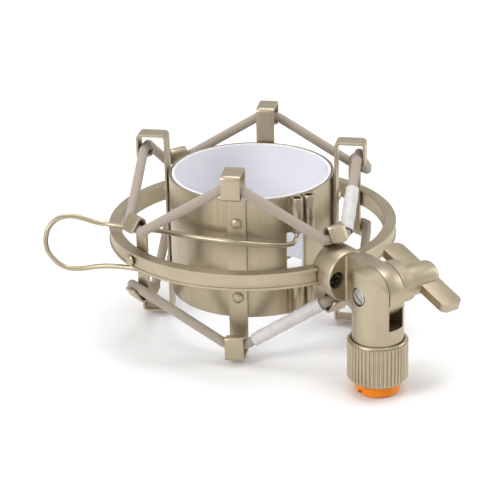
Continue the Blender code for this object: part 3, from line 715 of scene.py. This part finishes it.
def make_bracket(settings):
    """The round pad that grips the ring, and the tongue that stands out from it."""
    face, deep, half, fillet = PAD_FACE, PAD_BACK - PAD_FACE, TONGUE_HALF, PAD_FILLET
    left, right = TONGUE
    profile = [(0, 0), (PAD_R - 0.7, 0), (PAD_R - 0.2, 0.2), (PAD_R, 0.7), (PAD_R, deep - 0.2),
               (PAD_R - 0.2, deep), (0, deep)]
    steps = settings.round_steps // 2 + 16
    bracket = turned("stand_bracket_fine", profile, (0, face, PIVOT_Z), (0, 1, 0), steps)
    plan = [(left, -12)] + arc(left - fillet, face - fillet, fillet, 0, 90, 14)
    plan += [(left - fillet, face + 1.5), (right + fillet, face + 1.5)]
    plan += arc(right + fillet, face - fillet, fillet, 90, 180, 14) + [(right, -12)]
    side = [(face + 1.2, PIVOT_Z - half + 1.3), (face + 1.2, PIVOT_Z + half - 1.3)]
    side += [(face - 2.2, PIVOT_Z + half)]
    side += arc(0, PIVOT_Z, half, 90, 270, 48) + [(face - 2.2, PIVOT_Z - half)]
    tongue = prism("tongue", plan, "z", PIVOT_Z - 14, PIVOT_Z + 14)
    combine(tongue, prism("side", side, "x", -14, 14), "INTERSECT")
    combine(bracket, tongue, "UNION")
    low, high = RING_LOW.z - GAP, RING_HIGH.z + GAP
    combine(bracket, rod(AXIS + Vector((0, 0, low)), AXIS + Vector((0, 0, high)), RING_R + GAP, 256))
    combine(bracket, pivot_hole())
    combine(bracket, clamp_hole(CLAMP_HOLE_R, 14.5))
    combine(bracket, clamp_hole(CLAMP_SEAT_R, 5.4))
    soften(bracket, 0.12, 2, 40.0)
    bake(bracket, "satin", 30.0)
    place(bracket, "ring", "stand_bracket")


def make_clamp_screw(settings):
    x, tip, long = CLAMP_X, CLAMP_LOW.y, CLAMP_HIGH.y - CLAMP_LOW.y
    profile = [(0, 0), (1.6, 0.05), (2.4, 0.25), (2.8, 0.7), (2.9, 1.1), (2.9, 1.7), (1.4, 1.7),
               (1.4, long), (0, long)]
    steps = settings.round_steps * 3 // 10
    screw = turned("clamp_screw_fine", profile, (x, tip, RING_Z), (0, 1, 0), steps)
    for wide, tall in ((1.7, 0.33), (0.33, 1.7)):
        combine(screw, block((x - wide, tip - 1, RING_Z - tall), (x + wide, tip + 1.1, RING_Z + tall)))
    bake(screw, "dark", 30.0)
    place(screw, "ring", "clamp_screw")


# ------------ strips and rivets

def bent_strip(name, upper, middle, trims, bearing, settings):
    """A strip bent along a (radius, height) route, the same above and below its middle."""
    route = [(r, 2 * middle - z) for r, z in reversed(upper)] + upper
    widths = [settings.strip_width] * len(route)
    for k, trim in enumerate(trims):
        widths[k] = widths[-1 - k] = settings.strip_width - trim
    across = polar(1, bearing + 90) - AXIS
    work = bmesh.new()
    rows = []
    for (r, z), width in zip(route, widths):
        here = polar(r, bearing, z)
        rows.append([work.verts.new(here + across * width * f) for f in (-0.5, -0.2, 0.2, 0.5)])
    for a, b in zip(rows, rows[1:]):
        for i in range(3):
            work.faces.new((a[i], a[i + 1], b[i + 1], b[i]))
    strip = to_object(work, name, closed=False)
    modifier(strip, "SOLIDIFY", thickness=settings.sheet, offset=0.0, use_even_offset=True)
    settle(strip)
    modifier(strip, "BEVEL", width=0.16, segments=2, limit_method="ANGLE", angle_limit=math.radians(50))
    settle(strip)
    return strip


def inner_strip(side, settings):
    bearing, sheet = INNER_BEARINGS[side], settings.sheet
    stand, reach = BAND_R + STRIP_STAND + sheet / 2, STRIP_REACH
    top = HOOK_HIGH.z - sheet / 2
    leg = HOOK_MID + STRIP_LEG
    bend, curl = 1.3, 0.9
    upper = [(stand, HOOK_MID + 14.0), (stand, HOOK_MID + 28.0)]
    upper += arc(stand + bend, top - bend, bend, 180, 90, 8) + arc(reach - bend, top - bend, bend, 90, 0, 8)
    upper += arc(reach - curl, leg + curl, curl, 0, -107, 9) + [(38.6, 65.6), (37.9, 65.8), (37.4, 65.95)]
    strip = bent_strip("inner_strip_fine_" + side, upper, HOOK_MID, (2.2, 0.7), bearing, settings)
    bake(strip, "satin", 45.0)
    place(strip, "jaw" if side.startswith("left") else "cradle", "inner_strip_" + side)


def outer_strip(side, settings):
    bearing = OUTER_BEARINGS[side]
    stand = RING_R - RING_BAR - GAP - settings.sheet / 2
    upper = [(stand, RING_Z + 4.0), (stand, RING_Z + 10.0)]
    upper += [(stand + 0.06, RING_Z + 10.9), (stand + 0.22, RING_Z + 12.0)]
    upper += arc(stand + 2.15, RING_Z + 14.6, 1.6, 172, 32, 12)
    tip = upper[-1]
    upper += [(tip[0] + 0.55 * d, tip[1] - 0.83 * d) for d in (2.0, 3.6, 4.3, 4.75, 5.0)]
    strip = bent_strip("outer_strip_fine_" + side, upper, RING_Z, (3.6, 1.9, 0.7), bearing, settings)
    if side == "front":
        combine(strip, clamp_hole(CLAMP_HOLE_R, 20))
    bake(strip, "satin", 45.0)
    place(strip, "ring", "outer_strip_" + side)


def rivet(name, bearing, height, face, shank, body):
    """A domed head whose flat stands at the face radius, on a shank that points to the axis."""
    angles = [math.radians(a) for a in range(0, 90, 12)]
    dome = [(2.1 * math.cos(a), 0.22 + 0.95 * math.sin(a)) for a in angles]
    profile = [(0, -shank), (0.9, -shank), (0.9, 0), (2.0, 0)] + dome + [(0, 1.17)]
    outwards = polar(1, bearing) - AXIS
    head = turned(name + "_fine", profile, polar(face, bearing, height), outwards, 36)
    bake(head, "satin", 50.0)
    place(head, body, name)


# ------------ split sleeve

def curled_sheet(name, inner, outer, low, high, settings):
    """The sleeve as one springy sheet, open at the front with a window between the knuckles."""
    steps = settings.round_steps
    (start, end), (right_side, left_side) = SLEEVE_ENDS, WINDOW_SIDES
    around = left_side - right_side
    bearings = [start] + [right_side + around * k / steps for k in range(steps + 1)] + [end]
    sill, head = WINDOW
    heights = [low, low + 0.4, sill, sill + 0.5, head - 0.5, head, high - 0.4, high]
    work = bmesh.new()
    middle = (inner + outer) / 2
    grid = [[work.verts.new(polar(middle, b, z)) for z in heights] for b in bearings]
    for i in range(len(bearings) - 1):
        for j in range(len(heights) - 1):
            in_window = i in (0, len(bearings) - 2) and sill <= heights[j] < head
            if not in_window:
                work.faces.new((grid[i][j], grid[i + 1][j], grid[i + 1][j + 1], grid[i][j + 1]))
    loose = [v for v in work.verts if not v.link_faces]
    bmesh.ops.delete(work, geom=loose, context="VERTS")
    sheet = to_object(work, name, closed=False)
    modifier(sheet, "SOLIDIFY", thickness=outer - inner, offset=0.0, use_even_offset=True)
    settle(sheet)
    return sheet


def make_band(settings):
    inner = BAND_R - BAND_SHEET
    band = curled_sheet("clamp_band_fine", inner, BAND_R, BAND_LOW.z, BAND_HIGH.z, settings)
    soften_rim(band, 0.12)
    bake(band, "brushed", 40.0)
    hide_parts("clamp_band_left", "clamp_band_right")
    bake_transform(band)


def soften_rim(obj, width):
    modifier(obj, "BEVEL", width=width, segments=2, limit_method="ANGLE", angle_limit=math.radians(60))
    settle(obj)


def make_lining(settings):
    inner = LINING_R - LINING_SHEET
    lining = curled_sheet("clamp_lining_fine", inner, LINING_R, BAND_LOW.z, BAND_HIGH.z, settings)
    soften_rim(lining, 0.15)
    bake(lining, "lining", 40.0)
    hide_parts("clamp_lining_left", "clamp_lining_right")
    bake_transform(lining)


def make_knuckles(settings):
    """Each free edge is rolled outwards into a tube, and its end lies back on the sheet."""
    steps = settings.round_steps * 3 // 10
    for side, sign, body in (("left", -1, "jaw"), ("right", 1, "cradle")):
        centre = AXIS + Vector((sign * -KNUCKLE_PIN.x, KNUCKLE_PIN.y, 0))
        upper, lower = (WINDOW[1] + 0.25, BAND_HIGH.z - 0.2), (BAND_LOW.z + 0.2, WINDOW[0] - 0.25)
        for level, (low, high) in (("upper", upper), ("lower", lower)):
            bore, out = KNUCKLE_BORE_R, KNUCKLE_R
            profile = [(bore, low + 0.1), (bore + 0.1, low), (out - 0.15, low), (out, low + 0.15)]
            profile += [(out, high - 0.15), (out - 0.15, high), (bore + 0.1, high), (bore, high - 0.1)]
            name = "knuckle_" + side + "_" + level
            tube = turned(name, profile, centre, (0, 0, 1), steps, loop=True)
            bake(tube, "brushed", 50.0)
            # the faces inside the bore get a near-black painted shade, for the shade in the tube
            tube.data.materials.append(MATERIALS["bore"])
            for face in tube.data.polygons:
                flat = face.center.xy - centre.xy * MM
                face.material_index = 1 if flat.length < (KNUCKLE_BORE_R + 0.03) * MM else 0
            place(tube, body, "clamp_band_" + side)
            flap = flap_strip("knuckle_tail_" + side + "_" + str(int(low)), sign, low, high)
            bake(flap, "brushed", 50.0)
            place(flap, body, "clamp_band_" + side)


def flap_strip(name, sign, low, high):
    """The tail of the rolled edge, a thin step that lies on the sheet beside its tube."""
    work = bmesh.new()
    bearings = [-90.0 + sign * (6.4 + 4.4 * k / 8) for k in range(9)]
    radii = [BAND_R + 0.55 - 0.18 * k / 8 for k in range(9)]
    ends = low + 0.1, high - 0.1
    rows = [[work.verts.new(polar(r, b, z)) for z in ends] for r, b in zip(radii, bearings)]
    for a, b in zip(rows, rows[1:]):
        work.faces.new((a[0], b[0], b[1], a[1]))
    flap = to_object(work, name, closed=False)
    modifier(flap, "SOLIDIFY", thickness=0.5, offset=0.0, use_even_offset=True)
    settle(flap)
    return flap


# ------------ cords, sleeves and wire

def cord_corners(up):
    """Where a cord turns: a short level run across each hook, and straight lines between."""
    corners = []
    for k in range(8):
        radius, middle, rise, half = CORD_HOOKS[k % 2]
        bearing = 45.0 * k - 90.0
        across = polar(1, bearing + 90) - AXIS
        hook = polar(radius, bearing, middle + up * rise)
        corners += [hook - across * half, hook + across * half]
    return corners


def round_corners(corners, radius, steps):
    route = []
    for i, corner in enumerate(corners):
        back = corners[i - 1] - corner
        ahead = corners[(i + 1) % len(corners)] - corner
        a, b = corner + back.normalized() * radius, corner + ahead.normalized() * radius
        for k in range(steps + 1):
            t = k / steps
            route.append(a * (1 - t) ** 2 + corner * (2 * t * (1 - t)) + b * t ** 2)
    return route


def carried(obj):
    """A cord or sleeve stretches between the ring's hooks and the sleeve's hooks."""
    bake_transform(obj)


def elastic_cord(name, up, joint_run, settings):
    """A closed loop of braid; it starts under its sleeve, where the pattern's join is hidden."""
    corners = cord_corners(up)
    corners = corners[joint_run + 1:] + corners[:joint_run + 1]
    corners.append(corners[-1].lerp(corners[0], 0.4))
    route = round_corners(corners, CORD_BEND, 6)
    cord = swept(name + "_fine", route, settings.cord_radius, 20, 0.6, "elastic", closed=True)
    bake(cord, "elastic", 80.0)
    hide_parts(name)
    carried(cord)


def cord_sleeve(name, up, run, share, settings):
    """A shrunk tube on part of one straight run, a little lumpy and open at both ends."""
    corners = cord_corners(up)
    a, b = corners[run], corners[(run + 1) % len(corners)]
    steps = 60
    route = [a.lerp(b, share[0] + (share[1] - share[0]) * k / steps) for k in range(steps + 1)]
    sleeve = swept(name + "_fine", route, settings.sleeve_radius - 0.15, 32, 0.25, "sleeve", capped=False)
    direction = (b - a).normalized()
    for vertex in sleeve.data.vertices:
        along = (vertex.co - a).dot(direction)
        centre = a + direction * along
        out = vertex.co - centre
        lump = 0.03 * math.sin(along * 0.9 + 1.3 * math.sin(out.z * 1.2))
        crease = 0.014 * math.sin(along * 2.3 + out.x * 2.0)
        vertex.co = centre + out * (1 + lump + crease)
    modifier(sleeve, "SOLIDIFY", thickness=SLEEVE_WALL, offset=0.0, use_even_offset=True)
    settle(sleeve)
    bake(sleeve, "sleeve", 60.0)
    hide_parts(name)
    carried(sleeve)


def smooth_route(points, per_span):
    padded = [2 * points[0] - points[1]] + points + [2 * points[-1] - points[-2]]
    route = []
    for a, b, c, d in zip(padded, padded[1:], padded[2:], padded[3:]):
        for k in range(per_span):
            t = k / per_span
            bend = (2 * a - 5 * b + 4 * c - d) * t * t + (3 * b - a - 3 * c + d) * t ** 3
            route.append(0.5 * (2 * b + (c - a) * t + bend))
    route.append(points[-1])
    return route


def make_wire(settings):
    """One bent wire: its ends stand in the left knuckles, and its loop is outside the ring."""
    x, y = KNUCKLE_PIN.x, KNUCKLE_PIN.y
    upper = [(x, y, 53.5), (x, y, 50.0), (x, y, 46.6), (-3.6, -33.1, 44.5), (-6.9, -34.2, 43.4),
             (-15.7, -32.6, 44.8), (-26.4, -26.0, 46.5), (-34.2, -14.0, 46.4), (-39.8, 0.0, 45.5),
             (-46.0, 16.0, 43.85), (-49.6, 22.7, 43.5), (-53.4, 25.9, 44.3), (-58.9, 29.3, 46.6),
             (-62.4, 31.0, 47.3), (-66.0, 32.6, 46.4), (-69.2, 33.4, 43.6), (-70.9, 33.2, 39.3)]
    lower = [(-71.0, 31.8, 35.1), (-69.3, 29.0, 31.4), (-67.0, 26.8, 29.4), (-64.8, 24.8, 28.8),
             (-61.3, 21.9, 29.0), (-58.2, 19.3, 29.7), (-54.9, 15.8, 30.3), (-50.2, 10.4, 30.4),
             (-46.4, 5.0, 30.3), (-42.6, -1.0, 30.2), (-35.8, -13.0, 29.4), (-27.4, -25.2, 28.6),
             (-15.7, -32.6, 29.8), (-6.9, -34.2, 31.1), (-3.6, -33.1, 30.1), (x, y, 28.1),
             (x, y, 24.6), (x, y, 21.2)]
    route = smooth_route([AXIS + Vector(p) for p in upper + lower], 10)
    wire = swept("wire_handle_fine", route, settings.wire_radius, 20, 0.5, "wire")
    bake(wire, "wire", 50.0)
    place(wire, "handle", "wire_handle")


# ------------ studio

def make_floor():
    work = bmesh.new()
    bmesh.ops.create_grid(work, x_segments=8, y_segments=8, size=6.0)
    floor = to_object(work, "studio_floor", closed=False)
    floor.location.z = -0.0006
    floor.data.materials.append(studio_paper())


def soft_light(name, position, aim, size, power):
    light = bpy.data.lights.new(name, "AREA")
    light.shape = "RECTANGLE"
    light.size, light.size_y = size
    light.energy = power
    obj = bpy.data.objects.new(name, light)
    obj.location = position
    obj.rotation_euler = (Vector(aim) - Vector(position)).to_track_quat("-Z", "Y").to_euler()
    bpy.context.scene.collection.objects.link(obj)


def make_world():
    world = bpy.data.worlds.new("studio")
    world.use_nodes = True
    background = world.node_tree.nodes["Background"]
    background.inputs["Color"].default_value = (1.0, 1.0, 1.0, 1.0)
    background.inputs["Strength"].default_value = 0.68
    bpy.context.scene.world = world
    bpy.context.scene.view_settings.view_transform = "Standard"


def make_camera(settings):
    bearing, height = settings.camera_bearing, settings.camera_height
    level = math.cos(height)
    look = Vector((math.sin(bearing) * level, math.cos(bearing) * level, -math.sin(height)))
    data = bpy.data.cameras.new("camera")
    data.angle = settings.camera_view
    data.clip_start = 0.01
    camera = bpy.data.objects.new("camera", data)
    camera.location = Vector(settings.camera_aim) - look * settings.camera_distance
    turn = look.to_track_quat("-Z", "Y").to_matrix() @ Matrix.Rotation(settings.camera_roll, 3, "Z")
    camera.rotation_euler = turn.to_euler()
    bpy.context.scene.collection.objects.link(camera)
    bpy.context.scene.camera = camera


# ------------ operators

class SHOCKMOUNT_OT_socket(bpy.types.Operator):
    """Builds the thread reducer, nut, stem, pivot screw and wing knob"""
    bl_idname = "shockmount.socket"
    bl_label = "Stand socket"

    def execute(self, context):
        settings = context.scene.shock_mount
        for make in (make_reducer, make_nut, make_stem, make_pivot_screw, make_knob):
            make(settings)
        return {"FINISHED"}


class SHOCKMOUNT_OT_ring(bpy.types.Operator):
    """Builds the outer ring with its bracket, screw, strips and rivets"""
    bl_idname = "shockmount.ring"
    bl_label = "Ring and bracket"

    def execute(self, context):
        settings = context.scene.shock_mount
        make_ring(settings)
        make_bracket(settings)
        make_clamp_screw(settings)
        for side, bearing in OUTER_BEARINGS.items():
            outer_strip(side, settings)
            if side != "front":
                rivet("rivet_ring_" + side, bearing, RING_Z, RING_R + 0.05, 5.6, "ring")
        return {"FINISHED"}


class SHOCKMOUNT_OT_clamp(bpy.types.Operator):
    """Builds the split sleeve with its lining, knuckles, hooked strips and rivets"""
    bl_idname = "shockmount.clamp"
    bl_label = "Split sleeve"

    def execute(self, context):
        settings = context.scene.shock_mount
        make_band(settings)
        make_lining(settings)
        make_knuckles(settings)
        face = BAND_R + STRIP_STAND + settings.sheet + 0.05
        for side, bearing in INNER_BEARINGS.items():
            inner_strip(side, settings)
            body = "jaw" if side.startswith("left") else "cradle"
            for level, height in zip(("lower", "upper"), RIVET_HEIGHTS):
                rivet("rivet_" + side + "_" + level, bearing, height, face, 2.3, body)
        return {"FINISHED"}


class SHOCKMOUNT_OT_elastics(bpy.types.Operator):
    """Builds the braided elastic cords and their white sleeves"""
    bl_idname = "shockmount.elastics"
    bl_label = "Elastic cords"

    def execute(self, context):
        settings = context.scene.shock_mount
        elastic_cord("elastic_upper", 1, 1, settings)
        elastic_cord("elastic_lower", -1, 15, settings)
        cord_sleeve("cord_sleeve_upper", 1, 1, UPPER_SLEEVE, settings)
        cord_sleeve("cord_sleeve_lower", -1, 15, LOWER_SLEEVE, settings)
        return {"FINISHED"}


class SHOCKMOUNT_OT_wire(bpy.types.Operator):
    """Builds the wire loop"""
    bl_idname = "shockmount.wire"
    bl_label = "Wire loop"

    def execute(self, context):
        make_wire(context.scene.shock_mount)
        return {"FINISHED"}


class SHOCKMOUNT_OT_stage(bpy.types.Operator):
    """Sets the floor, the lights and the camera"""
    bl_idname = "shockmount.stage"
    bl_label = "Studio"

    def execute(self, context):
        make_floor()
        make_world()
        middle = (0.0, 0.06, 0.03)
        soft_light("key_light", (-0.95, 0.0, 0.55), middle, (0.3, 0.5), 4.6)
        soft_light("top_light", (0.1, 0.1, 1.0), middle, (0.7, 0.5), 4.6)
        soft_light("right_light", (0.8, -0.3, 0.35), middle, (0.25, 0.6), 2.0)
        make_camera(context.scene.shock_mount)
        return {"FINISHED"}


class SHOCKMOUNT_PT_panel(bpy.types.Panel):
    bl_label = "Shock mount"
    bl_idname = "SHOCKMOUNT_PT_panel"
    bl_space_type = "VIEW_3D"
    bl_region_type = "UI"
    bl_category = "Shock mount"

    def draw(self, context):
        layout = self.layout
        settings = context.scene.shock_mount
        for name in settings.bl_rna.properties.keys():
            if name not in ("rna_type", "name"):
                layout.prop(settings, name)
        for operator in OPERATORS:
            layout.operator(operator.bl_idname)


OPERATORS = (SHOCKMOUNT_OT_socket, SHOCKMOUNT_OT_ring, SHOCKMOUNT_OT_clamp, SHOCKMOUNT_OT_elastics,
             SHOCKMOUNT_OT_wire, SHOCKMOUNT_OT_stage)
CLASSES = (ShockMountSettings, *OPERATORS, SHOCKMOUNT_PT_panel)


def register():
    for item in CLASSES:
        bpy.utils.register_class(item)
    bpy.types.Scene.shock_mount = bpy.props.PointerProperty(type=ShockMountSettings)


def unregister():
    del bpy.types.Scene.shock_mount
    for item in reversed(CLASSES):
        bpy.utils.unregister_class(item)


def main():
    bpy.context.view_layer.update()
    register()
    make_materials(bpy.context.scene.shock_mount)
    bpy.ops.shockmount.socket()
    bpy.ops.shockmount.ring()
    bpy.ops.shockmount.clamp()
    bpy.ops.shockmount.elastics()
    bpy.ops.shockmount.wire()
    bpy.ops.shockmount.stage()


if __name__ == "__main__":
    main()
